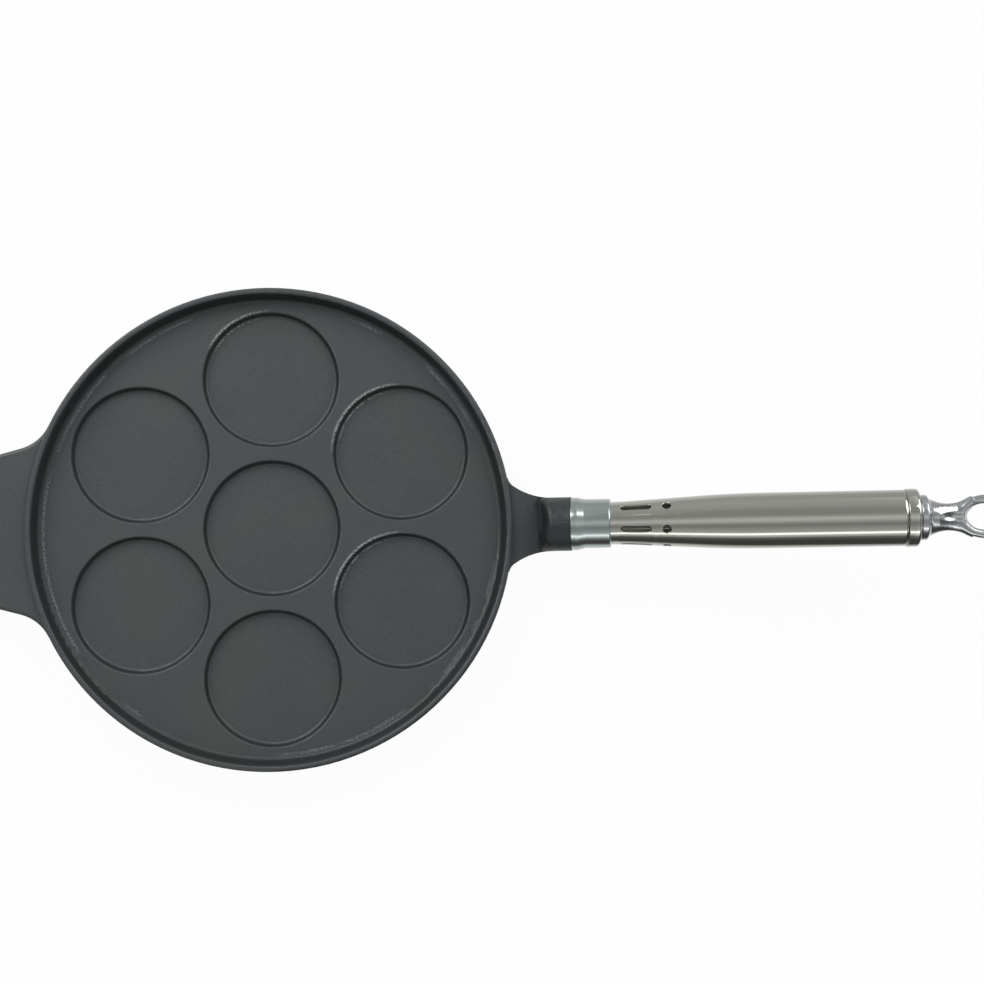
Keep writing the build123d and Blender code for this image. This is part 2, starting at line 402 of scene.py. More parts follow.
class Nodes:
    """Short way to add and link nodes in one node tree.

    Args:
        tree: The node tree to add to.
    """

    def __init__(self, tree: bpy.types.NodeTree) -> None:
        """Keeps the tree."""
        self.tree = tree

    def feed(self, socket: bpy.types.NodeSocket, value: object) -> None:
        """Links an output to an input, or sets the input to a plain value.

        Args:
            socket: The input.
            value: The output's socket, or the value.
        """
        if isinstance(value, bpy.types.NodeSocket):
            self.tree.links.new(value, socket)
        else:
            socket.default_value = value

    def add(self, kind: str, **values: object) -> bpy.types.Node:
        """Adds a node and sets its properties, or its inputs where the name is an input's.

        Args:
            kind: The node's type name.
            values: Property values, or input values or sockets, with spaces in their names written as
                underscores. An input is also known by i and its number.

        Returns:
            The new node.
        """
        node = self.tree.nodes.new(kind)
        for key, value in values.items():
            if hasattr(node, key):
                setattr(node, key, value)
            else:
                self.feed(node.inputs[int(key[1:]) if key[1:].isdigit() else key.replace("_", " ")], value)
        return node

    def math(self, operation: str, first: object, *others: object) -> bpy.types.NodeSocket:
        """Adds a Math node, or a row of them that takes in one value after the other.

        Args:
            operation: Blender's name of the operation.
            first: First value or socket.
            others: The other values or sockets, if any.

        Returns:
            The result's socket.
        """
        for other in others or (0.0,):
            first = self.add("ShaderNodeMath", operation=operation, i0=first, i1=other).outputs[0]
        return first

    def ramp(self, value: bpy.types.NodeSocket, start: Pair, result: Pair = (0.0, 1.0)
             ) -> bpy.types.NodeSocket:
        """Maps a value from one range to another, and keeps it there.

        Args:
            value: The value.
            start: The value's range.
            result: The result's range.

        Returns:
            The result's socket.
        """
        return self.add(
            "ShaderNodeMapRange", Value=value, From_Min=start[0], From_Max=start[1], To_Min=result[0],
            To_Max=result[1],
        ).outputs[0]

    def length(self, one: bpy.types.NodeSocket, two: bpy.types.NodeSocket) -> bpy.types.NodeSocket:
        """Works out the length of a vector from its two parts.

        Args:
            one: First part.
            two: Second part.

        Returns:
            The length's socket.
        """
        squares = self.math("ADD", self.math("MULTIPLY", one, one), self.math("MULTIPLY", two, two))
        return self.math("SQRT", squares)

    def band(self, value: bpy.types.NodeSocket, band: Band) -> bpy.types.NodeSocket:
        """Marks where a value lies in a band.

        Args:
            value: The value.
            band: The band.

        Returns:
            The mask's socket.
        """
        away = self.math("ABSOLUTE", self.math("SUBTRACT", value, band.middle))
        return self.ramp(away, (band.core, band.edge), (band.level, 0.0))

    def noise(self, place: bpy.types.NodeSocket, scale: object, detail: float, roughness: float
              ) -> bpy.types.NodeSocket:
        """Adds a noise texture.

        Args:
            place: The coordinates' socket.
            scale: Number of its features in a metre.
            detail: Number of finer layers.
            roughness: Strength of each layer against the last.

        Returns:
            The noise's socket.
        """
        return self.add(
            "ShaderNodeTexNoise", Vector=place, Scale=scale, Detail=detail, Roughness=roughness,
        ).outputs[0]

    def stops(self, fac: bpy.types.NodeSocket, levels: list[tuple[float, float]]) -> bpy.types.NodeSocket:
        """Maps a value through straight runs between set levels.

        Args:
            fac: The value, between 0 and 1.
            levels: Value and result at each stop, in order.

        Returns:
            The result's socket.
        """
        node = self.add("ShaderNodeValToRGB", Fac=fac)
        stops = node.color_ramp.elements
        while len(stops) < len(levels):
            stops.new(0.5)
        for stop, (place, level) in zip(stops, levels):
            stop.position = place
            stop.color = (level, level, level, 1.0)
        return node.outputs[0]

    def mix(self, fac: bpy.types.NodeSocket, one: object, two: object) -> bpy.types.NodeSocket:
        """Mixes two colours.

        Args:
            fac: Share of the second colour.
            one: First colour or socket.
            two: Second colour or socket.

        Returns:
            The result's socket.
        """
        one, two = ((*c, 1.0) if isinstance(c, tuple) else c for c in (one, two))
        return self.add("ShaderNodeMix", data_type="RGBA", i0=fac, i6=one, i7=two).outputs[2]

    def split(self, vector: bpy.types.NodeSocket) -> list[bpy.types.NodeSocket]:
        """Takes a vector apart.

        Args:
            vector: The vector's socket.

        Returns:
            The sockets of X, Y and Z.
        """
        return list(self.add("ShaderNodeSeparateXYZ", Vector=vector).outputs)


def new_group(name: str, values: dict[str, float], results: tuple[str, ...]) -> tuple[
    bpy.types.NodeTree, Nodes, bpy.types.NodeOutputs, bpy.types.NodeInputs
]:
    """Starts a shader node group with a Vector input.

    Args:
        name: The group's name.
        values: Defaults of its other inputs, by name.
        results: Names of its outputs, which are plain values.

    Returns:
        The group, its node helper, its inputs' sockets and its outputs' sockets.
    """
    group = bpy.data.node_groups.new(name, "ShaderNodeTree")
    group.interface.new_socket(name="Vector", in_out="INPUT", socket_type="NodeSocketVector")
    for label, default in values.items():
        socket = group.interface.new_socket(name=label, in_out="INPUT", socket_type="NodeSocketFloat")
        socket.default_value = default
    for label in results:
        group.interface.new_socket(name=label, in_out="OUTPUT", socket_type="NodeSocketFloat")
    nodes = Nodes(group)
    return group, nodes, nodes.add("NodeGroupInput").outputs, nodes.add("NodeGroupOutput").inputs


def build_grain() -> bpy.types.NodeTree:
    """Group of a cast skin: fine grain, with soft hollows under it.

    Returns:
        A group with inputs Vector, Grain Size and Hollow Size in metres, and outputs Height and Mottle.
    """
    group, n, start, end = new_group(
        "cast_grain", {"Grain Size": 0.8 * MM, "Hollow Size": 4 * MM}, ("Height", "Mottle"),
    )
    fine = n.noise(start["Vector"], n.math("DIVIDE", 1.0, start["Grain Size"]), *FINE_GRAIN)
    wide = n.noise(start["Vector"], n.math("DIVIDE", 1.0, start["Hollow Size"]), *WIDE_GRAIN)
    height = n.math("ADD", n.math("MULTIPLY", fine, FINE_SHARE), n.math("MULTIPLY", wide, WIDE_SHARE))
    n.feed(end["Height"], height)
    n.feed(end["Mottle"], wide)
    return group


def build_brushing() -> bpy.types.NodeTree:
    """Group of fine lines along one axis, as a belt or a wheel leaves them.

    Returns:
        A group with inputs Vector, Line Width and Line Length in metres and Tilt, the turn about Y in
        radians that lays the lines along the piece, and output Lines.
    """
    group, n, start, end = new_group(
        "brushed_lines", {"Line Width": 0.2 * MM, "Line Length": 20 * MM, "Tilt": 0.0}, ("Lines",),
    )
    across = n.math("DIVIDE", 1.0, start["Line Width"])
    scale = n.add("ShaderNodeCombineXYZ", X=n.math("DIVIDE", 1.0, start["Line Length"]), Y=across, Z=across)
    turn = n.add("ShaderNodeCombineXYZ", Y=start["Tilt"]).outputs[0]
    laid = n.add(
        "ShaderNodeVectorRotate", rotation_type="EULER_XYZ", Vector=start["Vector"], Rotation=turn,
    )
    stretched = n.add("ShaderNodeVectorMath", operation="MULTIPLY", i0=laid.outputs[0], i1=scale.outputs[0])
    n.feed(end["Lines"], n.noise(stretched.outputs[0], 1.0, *BRUSHED_GRAIN))
    return group


def build_recess_rings(count: int, centre_distance: float, radius: float) -> bpy.types.NodeTree:
    """Group of the recess edges, as distances from them in plan: one in the middle, and a ring round it.

    The ring repeats with each sector, so the angle is folded into one sector, in which the nearest centre
    lies on one line.

    Args:
        count: Number of recesses in the ring.
        centre_distance: Distance of the ring's recesses from the middle, in metres.
        radius: Radius of a recess at the plate, in metres.

    Returns:
        A group with input Vector and outputs in metres: Distance from the nearest recess's edge, negative
        inside it, Outer, the same for the ring, and Corner, how far the point lies towards -X and +Y from
        the centre of the nearest one in the ring.
    """
    group, n, start, end = new_group("recess_rings", {}, ("Distance", "Outer", "Corner"))
    x, y, _ = n.split(start["Vector"])
    reach = n.length(x, y)
    sector = TURN / count
    angle = n.math("ARCTAN2", y, x)
    folded = n.math("SUBTRACT", n.math("FLOORED_MODULO", angle, sector), sector / 2)
    across = n.math("MULTIPLY", reach, n.math("SINE", folded))
    outwards = n.math("SUBTRACT", n.math("MULTIPLY", reach, n.math("COSINE", folded)), centre_distance)
    outer = n.length(across, outwards)
    n.feed(end["Distance"], n.math("SUBTRACT", n.math("MINIMUM", outer, reach), radius))
    n.feed(end["Outer"], n.math("SUBTRACT", outer, radius))
    heading = n.math("SUBTRACT", angle, folded)
    from_x = n.math("SUBTRACT", x, n.math("MULTIPLY", n.math("COSINE", heading), centre_distance))
    from_y = n.math("SUBTRACT", y, n.math("MULTIPLY", n.math("SINE", heading), centre_distance))
    n.feed(end["Corner"], n.math("MULTIPLY", n.math("SUBTRACT", from_y, from_x), math.sqrt(0.5)))
    return group


@dataclass(frozen=True)
class Effects:
    """The node groups that the materials use.

    Args:
        grain: The cast skin.
        brushing: The fine lines.
        rings: The recess edges.
    """

    grain: bpy.types.NodeTree
    brushing: bpy.types.NodeTree
    rings: bpy.types.NodeTree


def start_material(name: str) -> tuple[
    bpy.types.Material, Nodes, bpy.types.NodeInputs, bpy.types.NodeSocket
]:
    """Makes a material with a Principled shader and Object coordinates.

    Args:
        name: The material's name.

    Returns:
        The material, its node helper, its shader's inputs and the coordinates' socket.
    """
    material = bpy.data.materials.new(name)
    material.use_nodes = True
    nodes = Nodes(material.node_tree)
    place = nodes.add("ShaderNodeTexCoord").outputs["Object"]
    return material, nodes, material.node_tree.nodes["Principled BSDF"].inputs, place


@dataclass(frozen=True)
class CastIronFinish:
    """Seasoned cast iron: near black, with a satin oil film over a fine sandy skin. Lengths are in metres.

    Args:
        name: The material's name.
        base: Colour of the skin.
        cool: Colour of the bluer patches.
        pale: Colour of the grain's tops.
        dusky: Colour of the darker skin on the boss.
        painted_shade: Colour of the painted shade on the recess walls, inside the rim and in the crease
            before the boss.
        wear_and_highlight: Colour of the wear on the edges, and of the painted highlights on the recess
            edges towards -X and +Y.
        pale_share: Strength of the grain's tops.
        painted_shade_share: Strength of the painted shade.
        roughness: Range of the skin's roughness.
        specular: The skin's specular level.
        grain_size: Size of the grain.
        hollow_size: Size of the hollows under it.
        grain_depth: Depth of the grain.
        lump_height: Height of the boss's lumps, in depths of the grain.
        patch_noise: Scale, detail and roughness of the patches.
        patch_span: Where in their noise they go from base to cool.
        speck_noise: Scale, detail and roughness of the specks.
        speck_span: Where in their noise they set in.
        lump_noise: Scale, detail and roughness of the boss's lumps.
        wave_noise: Scale, detail and roughness of the crease's waves.
        wave_height: How far the waves carry the crease.
        mottle_span: Where in the hollows' noise the roughness goes from its first end to its last.
        dusk: Where along X the skin darkens towards the boss.
        wall: Painted shade on a recess's wall, over the distance from its edge.
        corner: Painted shade inside the rim, over the distance from the middle.
        crease: Painted shade in the crease before the boss, over X with the waves added.
        lip: Line of wear and painted highlight at a recess's edge, over the distance from it.
        foot: Line of wear and painted highlight at the wall's foot, over the same distance.
        scuff: Scuffed line inside the rim, over the distance from the middle.
        scuff_span: Where in the patches' noise the scuffed line sets in.
        scuff_share: Strength of the scuffed line.
        arc: Where the arc of wear and painted highlight fades in, towards -X and +Y from a recess's centre.
        side: Where the recesses with the painted highlight start, along the direction slant.
        slant: Direction in plan from the plain recesses to the ones with the painted highlight.
    """

    name: str = "seasoned_iron"
    base: Colour = (0.060, 0.070, 0.069)
    cool: Colour = (0.055, 0.064, 0.072)
    pale: Colour = (0.120, 0.135, 0.132)
    dusky: Colour = (0.014, 0.022, 0.024)
    painted_shade: Colour = (0.010, 0.013, 0.013)
    wear_and_highlight: Colour = (0.42, 0.45, 0.45)
    pale_share: float = 0.18
    painted_shade_share: float = 0.8
    roughness: Pair = (0.41, 0.53)
    specular: float = 0.55
    grain_size: float = 1.1 * MM
    hollow_size: float = 4.8 * MM
    grain_depth: float = 0.11 * MM
    lump_height: float = 4.0
    patch_noise: NoiseLook = (22.0, 3.0, 0.5)
    patch_span: Pair = (0.38, 0.62)
    speck_noise: NoiseLook = (1300.0, 2.0, 0.7)
    speck_span: Pair = (0.44, 0.56)
    lump_noise: NoiseLook = (260.0, 2.0, 0.5)
    wave_noise: NoiseLook = (120.0, 1.0, 0.4)
    wave_height: float = 12 * MM
    mottle_span: Pair = (0.3, 0.7)
    dusk: Pair = (112 * MM, 133 * MM)
    wall: Band = Band(-0.9 * MM, 0.3 * MM, 1.1 * MM)
    corner: Band = Band(110.7 * MM, 0.9 * MM, 1.8 * MM)
    crease: Band = Band(136 * MM, 1.4 * MM, 2.8 * MM)
    lip: Band = Band(0.5 * MM, 0.3 * MM, 0.9 * MM)
    foot: Band = Band(-2.2 * MM, 0.2 * MM, 0.6 * MM, 0.7)
    scuff: Band = Band(107.7 * MM, 0.3 * MM, 1.0 * MM)
    scuff_span: Pair = (0.50, 0.56)
    scuff_share: float = 0.45
    arc: Pair = (23 * MM, 31 * MM)
    side: Pair = (10 * MM, 16 * MM)
    slant: Pair = (0.9, 0.43)

    def build(self, effects: Effects) -> bpy.types.Material:
        """Makes the material.

        Args:
            effects: The shared node groups.

        Returns:
            The material.
        """
        material, n, shader, place = start_material(self.name)
        grain = n.add(
            "ShaderNodeGroup", node_tree=effects.grain, Vector=place, Grain_Size=self.grain_size,
            Hollow_Size=self.hollow_size,
        ).outputs
        rings = n.add("ShaderNodeGroup", node_tree=effects.rings, Vector=place).outputs
        x, y, _ = n.split(place)
        reach = n.length(x, y)
        patches = n.noise(place, *self.patch_noise)
        dusk = n.ramp(x, self.dusk)
        specks = n.ramp(n.noise(place, *self.speck_noise), self.speck_span)
        colour = n.mix(n.ramp(patches, self.patch_span), self.base, self.cool)
        colour = n.mix(dusk, colour, self.dusky)
        colour = n.mix(n.math("MULTIPLY", specks, self.pale_share), colour, self.pale)

        # Painted shade: the colour darkens on the recess walls, inside the rim and in the crease before the
        # boss, where shade falls.
        waves = n.math("MULTIPLY", n.noise(place, *self.wave_noise), self.wave_height)
        crease = n.band(n.math("ADD", x, waves), self.crease)
        corners = n.math("MAXIMUM", n.band(rings["Distance"], self.wall), crease, n.band(reach, self.corner))
        colour = n.mix(n.math("MULTIPLY", corners, self.painted_shade_share), colour, self.painted_shade)

        # Pale lines on the recess edges towards -X and +Y: partly wear, partly a painted highlight of the
        # lit edges.
        side = n.math("ADD", n.math("MULTIPLY", x, self.slant[0]), n.math("MULTIPLY", y, self.slant[1]))
        lines = n.math("MAXIMUM", n.band(rings["Outer"], self.lip), n.band(rings["Outer"], self.foot))
        wear_and_highlight_lines = n.math("MULTIPLY", n.ramp(rings["Corner"], self.arc), n.ramp(side, self.side), lines)
        patchy = n.ramp(patches, self.scuff_span, (0.0, self.scuff_share))
        scuffed = n.math("MULTIPLY", patchy, n.band(reach, self.scuff))
        colour = n.mix(n.math("MULTIPLY", n.math("MAXIMUM", wear_and_highlight_lines, scuffed), specks), colour, self.wear_and_highlight)

        n.feed(shader["Base Color"], colour)
        n.feed(shader["Roughness"], n.ramp(grain["Mottle"], self.mottle_span, self.roughness))
        shader["Specular IOR Level"].default_value = self.specular
        lumps = n.math("MULTIPLY", dusk, self.lump_height, n.noise(place, *self.lump_noise))
        height = n.math("ADD", grain["Height"], lumps)
        bump = n.add("ShaderNodeBump", Strength=1.0, Distance=self.grain_depth, Height=height)
        n.feed(shader["Normal"], bump.outputs[0])
        return material


@dataclass(frozen=True)
class BrightMetalFinish:
    """Bare or plated bright metal, with fine lines or a soft cast ripple.

    Args:
        name: The material's name.
        base: Colour of the metal.
        shade: Colour in the lines' or ripple's hollows.
        roughness: Range of the roughness, from the hollows to the tops.
        depth: Depth of the lines or of the ripple in metres.
        line_width: Width of the lines in metres, or 0 for a ripple.
        line_length: Length of the lines in metres.
        ripple_size: Size of the ripple in metres.
        swell_size: Size of the swell under the ripple in metres.
        colour_span: Where in the pattern the colour goes from the shade to the base.
        roughness_span: Where in the pattern the roughness goes from its first end to its last.
    """

    name: str
    base: Colour
    shade: Colour
    roughness: Pair
    depth: float
    line_width: float = 0.0
    line_length: float = 50 * MM
    ripple_size: float = 1.6 * MM
    swell_size: float = 6 * MM
    colour_span: Pair = (0.35, 0.65)
    roughness_span: Pair = (0.3, 0.7)

    def build(self, effects: Effects, tilt: float) -> bpy.types.Material:
        """Makes the material.

        Args:
            effects: The shared node groups.
            tilt: Turn about Y in radians that lays the lines along the handle.

        Returns:
            The material.
        """
        material, n, shader, place = start_material(self.name)
        shader["Metallic"].default_value = 1.0
        if self.line_width:
            pattern = n.add(
                "ShaderNodeGroup", node_tree=effects.brushing, Vector=place, Line_Width=self.line_width,
                Line_Length=self.line_length, Tilt=tilt,
            ).outputs["Lines"]
        else:
            pattern = n.add(
                "ShaderNodeGroup", node_tree=effects.grain, Vector=place, Grain_Size=self.ripple_size,
                Hollow_Size=self.swell_size,
            ).outputs["Height"]
        n.feed(shader["Base Color"], n.mix(n.ramp(pattern, self.colour_span), self.shade, self.base))
        n.feed(shader["Roughness"], n.ramp(pattern, self.roughness_span, self.roughness))
        bump = n.add("ShaderNodeBump", Strength=1.0, Distance=self.depth, Height=pattern)
        n.feed(shader["Normal"], bump.outputs[0])
        return material


STEEL = BrightMetalFinish(
    "polished_stainless", (0.595, 0.605, 0.545), (0.545, 0.555, 0.50), (0.12, 0.08), 0.0012 * MM, 0.18 * MM,
)
COLLAR = BrightMetalFinish(
    "plated_collar", (0.51, 0.57, 0.56), (0.49, 0.55, 0.54), (0.21, 0.19), 0.001 * MM,
)
CHROME = BrightMetalFinish(
    "bright_die_casting", (0.59, 0.61, 0.62), (0.56, 0.58, 0.59), (0.20, 0.14), 0.02 * MM,
)
ZINC = BrightMetalFinish(
    "bright_zinc", (0.80, 0.81, 0.79), (0.70, 0.71, 0.69), (0.47, 0.37), 0.01 * MM,
)
DULL = BrightMetalFinish(
    "dull_tube_inside", (0.55, 0.545, 0.50), (0.46, 0.455, 0.42), (0.47, 0.37), 0.02 * MM,
)


# Sub-assemblies


def report(piece: bpy.types.Object) -> None:
    """Logs a piece's name and its number of faces.

    Args:
        piece: The piece.
    """
    log.info("%s: %d faces", piece.name, len(piece.data.polygons))


def dress_node(node: str, material: bpy.types.Material) -> None:
    """Gives a CAD node its material.

    Args:
        node: The node's name.
        material: The material.
    """
    piece = frame["nodes"][node]
    piece.data.materials.clear()
    piece.data.materials.append(material)
    report(piece)


def finish_piece(
    piece: bpy.types.Object, materials: list[bpy.types.Material], body: Body, node: str,
) -> None:
    """Gives a piece its materials and its body, and hides the CAD node it replaces.

    Args:
        piece: The piece.
        materials: Its materials, the outside's first.
        body: The body it rides on.
        node: The CAD node it replaces.
    """
    for material in materials:
        piece.data.materials.append(material)
    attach(piece, body.value)
    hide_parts(node)
    report(piece)


@dataclass
class PanCasting:
    """The iron casting: plate, rim, recesses, tab, arm and boss.

    Args:
        finish: Its finish.
        recess_ring: Number of recesses round the middle one.
        recess_distance: Distance of the outer recesses from the middle.
        recess_radius: Radius of a recess at the plate.
    """

    finish: CastIronFinish = field(default_factory=CastIronFinish)
    recess_ring: int = 6
    recess_distance: float = 71.6 * MM
    recess_radius: float = 32.7 * MM

    def dress(self, effects: Effects) -> None:
        """Gives the CAD node its material.

        Args:
            effects: The shared node groups.
        """
        dress_node("pan_casting", self.finish.build(effects))


@dataclass
class Ferrule:
    """The collar on the boss.

    Args:
        flare_length: Length of the flared foot.
        scoop_length: Length of the hollow behind it.
        barrel_radius: Radius of the barrel.
        front_edge: Rounding of the front edge.
        flare_edge: Rounding of the flare.
        scoop_edge: Rounding of the hollow.
        lip_edge: Rounding of the barrel's end.
        seat_edge: Rounding of the tube's seat at its mouth.
        bore_radius: Radius of the rod's hole.
        spigot_radius: Radius of the hollow over the boss's spigot.
        spigot_depth: Depth of that hollow.
        seat_radius: Radius of the tube's seat.
        seat_depth: Depth of the tube's seat.
    """

    flare_length: float = 3.0 * MM
    scoop_length: float = 3.6 * MM
    barrel_radius: float = 11.7 * MM
    front_edge: float = 0.3 * MM
    flare_edge: float = 1.8 * MM
    scoop_edge: float = 3.2 * MM
    lip_edge: float = 0.8 * MM
    seat_edge: float = 0.25 * MM
    bore_radius: float = 3.3 * MM
    spigot_radius: float = 9.1 * MM
    spigot_depth: float = 2.3 * MM
    seat_radius: float = 10.15 * MM
    seat_depth: float = 10.9 * MM

    def build(self, axis: HandleAxis) -> bpy.types.Object:
        """Turns the collar's profile round the axis.

        Args:
            axis: The handle's frame.

        Returns:
            The piece.
        """
        start, end, radius = axis.measure("ferrule")
        return lathe("ferrule_collar", axis, rounded([
            (start, radius, self.front_edge),
            (start + self.flare_length, radius, self.flare_edge),
            (start + self.flare_length + self.scoop_length, self.barrel_radius, self.scoop_edge),
            (end, self.barrel_radius, self.lip_edge),
            (end, self.seat_radius, self.seat_edge),
            (end - self.seat_depth, self.seat_radius, 0),
            (end - self.seat_depth, self.bore_radius, 0),
            (start + self.spigot_depth, self.bore_radius, 0),
            (start + self.spigot_depth, self.spigot_radius, 0),
            (start, self.spigot_radius, 0),
        ]))


@dataclass
class HandleTube:
    """The tapered tube with its vents.

    Args:
        nose_radius: Outer radius at the nose.
        taper_start: Where the taper leaves the nose.
        taper_end: Where it meets the grip.
        throat_blend: Softness of the bend at the nose.
        shoulder_blend: Softness of the bend at the grip.
        wall: Thickness of the sheet.
        vents: Number of slots round the tube, and of holes.
        first_vent: Angle of the first vent from straight up, towards -Y, in degrees.
        slot_centre: Place of the slots along the handle.
        slot_length: Overall length of a slot.
        slot_width: Width of a slot.
        slot_margin: Sheet before and behind a slot in its patch.
        hole_centre: Place of the round holes along the handle.
        hole_diameter: Diameter of a round hole.
        hole_margin: Sheet behind a hole in its patch.
        steps: Steps along each side of a patch.
        rings: Rings of points between a vent and its patch's edge.
        ring_growth: Power by which the rings draw apart outwards.
        bands: Rings of faces before the patches and behind them.
        weld: Distance within which the sectors' points are merged.
    """

    nose_radius: float = 10.1 * MM
    taper_start: float = 22.4 * MM
    taper_end: float = 76.4 * MM
    throat_blend: float = 0.5 * MM
    shoulder_blend: float = 0.9 * MM
    wall: float = 0.8 * MM
    vents: int = 6
    first_vent: float = 18.0
    slot_centre: float = 31.0 * MM
    slot_length: float = 14.7 * MM
    slot_width: float = 3.2 * MM
    slot_margin: float = 2.2 * MM
    hole_centre: float = 45.5 * MM
    hole_diameter: float = 4.2 * MM
    hole_margin: float = 2.4 * MM
    steps: int = 24
    rings: int = 7
    ring_growth: float = 1.5
    bands: tuple[int, int] = (10, 70)
    weld: float = 0.02 * MM

    def radius_at(self, a: Array, grip_radius: float) -> Array:
        """Outer radius along the tube.

        The nose and the grip are straight, and the cone between them runs into both through parabolas
        of a set length, which are the soft minimum and maximum of the straight lines.

        Args:
            a: Places along the handle.
            grip_radius: Radius of the grip.

        Returns:
            The radii.
        """
        slope = (grip_radius - self.nose_radius) / (self.taper_end - self.taper_start)
        cone = self.nose_radius + slope * (a - self.taper_start)
        rising = smooth_max(np.full_like(a, self.nose_radius), cone, self.throat_blend)
        return smooth_min(rising, np.full_like(a, grip_radius), self.shoulder_blend)

    def build(self, axis: HandleAxis) -> bpy.types.Object:
        """Makes the tube's outer skin, sector by sector round the vents, and gives it a wall.

        Each sector has a patch round the slot and one round the hole. A patch is a grid between the
        opening's outline and the patch's rectangle, both walked by the same share of the way round.
        Plain bands with the same steps round the tube fill the rest.

        Args:
            axis: The handle's frame.

        Returns:
            The piece.
        """
        start, end, grip_radius = axis.measure("handle_tube")
        sector = TURN / self.vents
        first = math.radians(self.first_vent)
        slot_room = self.slot_length / 2 + self.slot_margin
        hole_room = self.hole_diameter / 2 + self.hole_margin
        edges = [start, self.slot_centre - slot_room, self.slot_centre + slot_room,
                 self.hole_centre + hole_room, end]
        grids = []
        for k in range(self.vents):
            for low, length, width, centre in (
                (1, self.slot_length, self.slot_width, self.slot_centre),
                (2, self.hole_diameter, self.hole_diameter, self.hole_centre),
            ):
                radius = float(self.radius_at(np.array([centre]), grip_radius)[0])
                a, w = self.patch(edges[low], edges[low + 1], length / 2, width / 2, centre, sector * radius)
                grids.append((a, w / radius - first - k * sector))
        around = np.linspace(0, TURN, self.steps * self.vents, endpoint=False) - sector / 2 - first
        for low, bands in zip((0, 3), self.bands):
            along = np.linspace(edges[low], edges[low + 1], bands + 1)
            grids.append(np.meshgrid(along, around, indexing="ij"))
        points, faces, count = [], [], 0
        for a, t in grids:
            points.append(round_points(a, self.radius_at(a, grip_radius), t))
            faces.append(grid_faces(*a.shape, False) + count)
            count += a.size
        points = axis.place(np.concatenate(points))
        piece = make_piece("tube_with_vents", points, np.concatenate(faces), False)
        self.close_seams(piece)
        wall = piece.modifiers.new("wall", "SOLIDIFY")
        wall.thickness = self.wall
        wall.offset = -1.0
        wall.use_even_offset = True
        wall.material_offset = 1
        return piece

    def patch(
        self, low: float, high: float, half_length: float, half_width: float, centre: float, room: float,
    ) -> tuple[Array, Array]:
        """Grid between an opening and the rectangle of sheet round it, on the unrolled sheet.

        The opening is a stadium: the points at half_width from a segment along the handle. Going outwards,
        a point moves from the stadium to the rectangle in a straight line.

        Args:
            low: Where the rectangle starts along the handle.
            high: Where it ends.
            half_length: Half of the opening's length.
            half_width: Half of its width.
            centre: Its middle along the handle.
            room: Width of the rectangle.

        Returns:
            Places along the handle and across it, each of shape (rings, steps * 4).
        """
        share = np.arange(self.steps) / self.steps
        ones = np.ones(self.steps)
        run = share * (high - low)
        da = np.concatenate([low + run, high * ones, high - run, low * ones]) - centre
        dw = room / 2 * np.concatenate([-ones, 2 * share - 1, ones, 1 - 2 * share])
        straight = half_length - half_width
        reach = np.hypot(np.abs(da) / half_length, np.abs(dw) / half_width)
        anchor = np.clip(da / reach, -straight, straight)
        out_a, out_w = da / reach - anchor, dw / reach
        size = np.hypot(out_a, out_w)
        hole_a = anchor + out_a / size * half_width
        hole_w = out_w / size * half_width
        rings = np.linspace(0, 1, self.rings)[:, None] ** self.ring_growth
        return centre + hole_a + rings * (da - hole_a), hole_w + rings * (dw - hole_w)

    def close_seams(self, piece: bpy.types.Object) -> None:
        """Merges the sectors' shared points and turns the faces outwards.

        Args:
            piece: The tube.
        """
        mesh = bmesh.new()
        mesh.from_mesh(piece.data)
        bmesh.ops.remove_doubles(mesh, verts=mesh.verts, dist=self.weld)
        bmesh.ops.recalc_face_normals(mesh, faces=mesh.faces)
        mesh.to_mesh(piece.data)
        mesh.free()


@dataclass
class EndCap:
    """The cap over the tube's wide end.

    Args:
        length: Length of the part that shows.
        face: Thickness of its face.
        edge_radius: Rounding of its rear edge.
        lip_radius: Rounding of its front edge.
        plug_radius: Outer radius of the plug inside the tube.
        plug_wall: Wall of the plug.
        plug_edge: Rounding of the plug's end.
        bore_radius: Radius of the rod's hole.
    """

    length: float = 5.8 * MM
    face: float = 1.8 * MM
    edge_radius: float = 1.4 * MM
    lip_radius: float = 0.35 * MM
    plug_radius: float = 12.35 * MM
    plug_wall: float = 1.2 * MM
    plug_edge: float = 0.3 * MM
    bore_radius: float = 3.3 * MM

    def build(self, axis: HandleAxis) -> bpy.types.Object:
        """Turns the cap's profile round the axis.

        Args:
            axis: The handle's frame.

        Returns:
            The piece.
        """
        start, end, radius = axis.measure("end_cap")
        return lathe("cap_cover", axis, rounded([
            (end, self.bore_radius, 0),
            (end, radius, self.edge_radius),
            (end - self.length, radius, self.lip_radius),
            (end - self.length, self.plug_radius, 0),
            (start, self.plug_radius, self.plug_edge),
            (start, self.plug_radius - self.plug_wall, self.plug_edge),
            (end - self.face, self.plug_radius - self.plug_wall, 0),
            (end - self.face, self.bore_radius, 0),
        ]))


